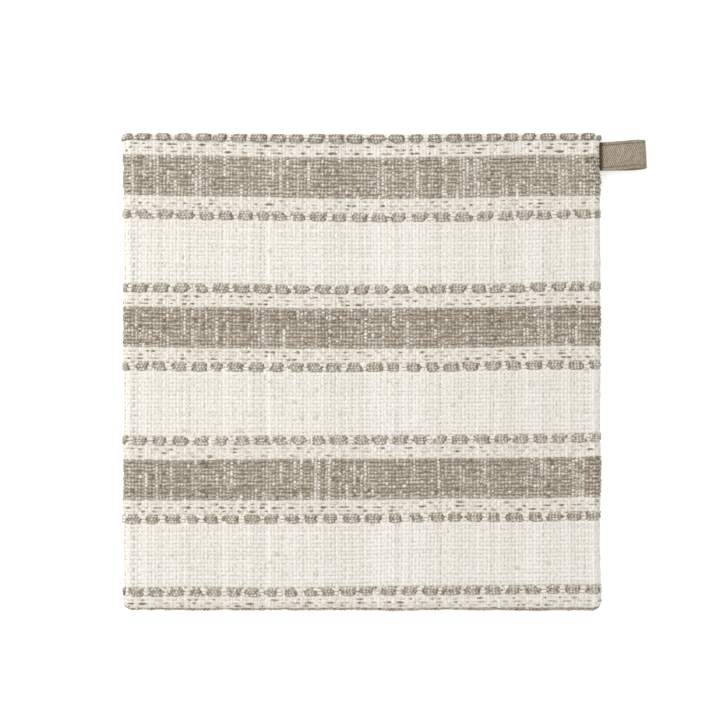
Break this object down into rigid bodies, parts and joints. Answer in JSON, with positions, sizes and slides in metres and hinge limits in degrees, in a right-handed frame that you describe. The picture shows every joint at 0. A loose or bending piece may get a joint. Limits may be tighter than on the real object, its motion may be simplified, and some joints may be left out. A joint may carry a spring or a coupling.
{
  "type": "pot holder",
  "caption": "Square padded pot holder in chunky striped weave, with a folded tape loop at one edge for hanging it up.",
  "frame": {"origin": "middle of the pad's underside, the face it lies on, not counting the hanging loop", "axes": "+Z out of the front face, +X towards the edge that the hanging loop is sewn into, +Y towards the edge that the loop is nearest to; the stripes run along X"},
  "size_m": [0.2195, 0.2, 0.0092],
  "materials": {
    "woven_cloth": "matte",
    "float_yarn": "matte",
    "wadding": "matte",
    "twill_tape": "matte",
    "sewing_thread": "matte"
  },
  "bodies": {
    "pad": {"front_cover": "woven_cloth", "back_cover": "woven_cloth", "front_wadding": "wadding", "back_wadding": "wadding", "loop_tails": "twill_tape", "edge_seam_thread": "sewing_thread", "loop_tack_thread": "sewing_thread", "closing_thread": "sewing_thread", "front_float_yarn_1": "float_yarn", "front_float_yarn_2": "float_yarn", "front_float_yarn_3": "float_yarn", "front_float_yarn_4": "float_yarn", "front_float_yarn_5": "float_yarn", "front_float_yarn_6": "float_yarn", "front_float_yarn_7": "float_yarn", "back_float_yarn_1": "float_yarn", "back_float_yarn_2": "float_yarn", "back_float_yarn_3": "float_yarn", "back_float_yarn_4": "float_yarn", "back_float_yarn_5": "float_yarn", "back_float_yarn_6": "float_yarn", "back_float_yarn_7": "float_yarn"},
    "loop": {"hanging_loop": "twill_tape"}
  },
  "joints": [
    {"name": "loop_swing", "type": "hinge", "parent": "pad", "child": "loop", "pos_m": [0.102, 0.0902, 0.004], "axis": [0, -1, 0], "range_deg": [-100, 100]}
  ]
}
